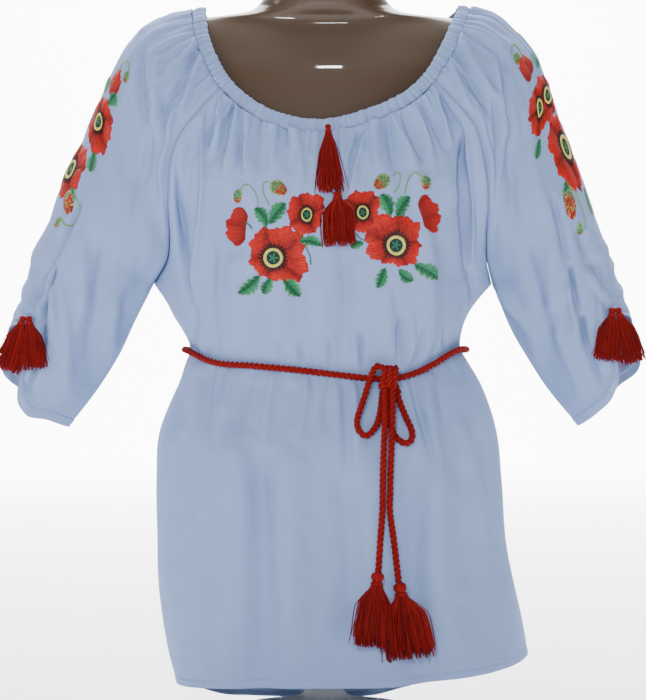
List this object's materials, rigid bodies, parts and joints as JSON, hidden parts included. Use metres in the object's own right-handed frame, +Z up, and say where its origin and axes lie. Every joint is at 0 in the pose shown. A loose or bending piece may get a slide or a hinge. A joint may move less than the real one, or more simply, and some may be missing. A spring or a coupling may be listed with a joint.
{
  "type": "embroidered peasant blouse on dress form",
  "caption": "Loose white raglan blouse with gathered neck, three-quarter sleeves tied at the cuff, poppy embroidery and a cord belt tied in a bow, on a limbless dress form",
  "frame": {"origin": "middle of the bounding box seen from above, at the underside of the form's foot", "axes": "+Z up the body, +X to the wearer's left (right as seen from the front), +Y from front to back"},
  "size_m": [0.6829, 0.3168, 0.8],
  "materials": {
    "cloth": "fine crepe, matt, cool white",
    "cord": "twisted cord, dark red",
    "thread": "loose thread tassels, dark red",
    "form": "smooth glossy brown",
    "foot": "smooth, pale grey"
  },
  "bodies": {
    "root": {"front_panel": "cloth", "back_panel": "cloth", "sleeve_left": "cloth", "sleeve_right": "cloth", "neck_band": "cloth", "belt_cord": "cord", "bow_knot": "cord", "bow_loop_left": "cord", "bow_loop_right": "cord", "belt_end_left": "cord", "belt_end_right": "cord", "belt_tassel_left": "thread", "belt_tassel_right": "thread", "neck_tassel_upper": "thread", "neck_tassel_lower": "thread", "cuff_tassel_left_1": "thread", "cuff_tassel_left_2": "thread", "cuff_tassel_right_1": "thread", "cuff_tassel_right_2": "thread", "dress_form": "form", "form_foot": "foot"}
  },
  "joints": []
}
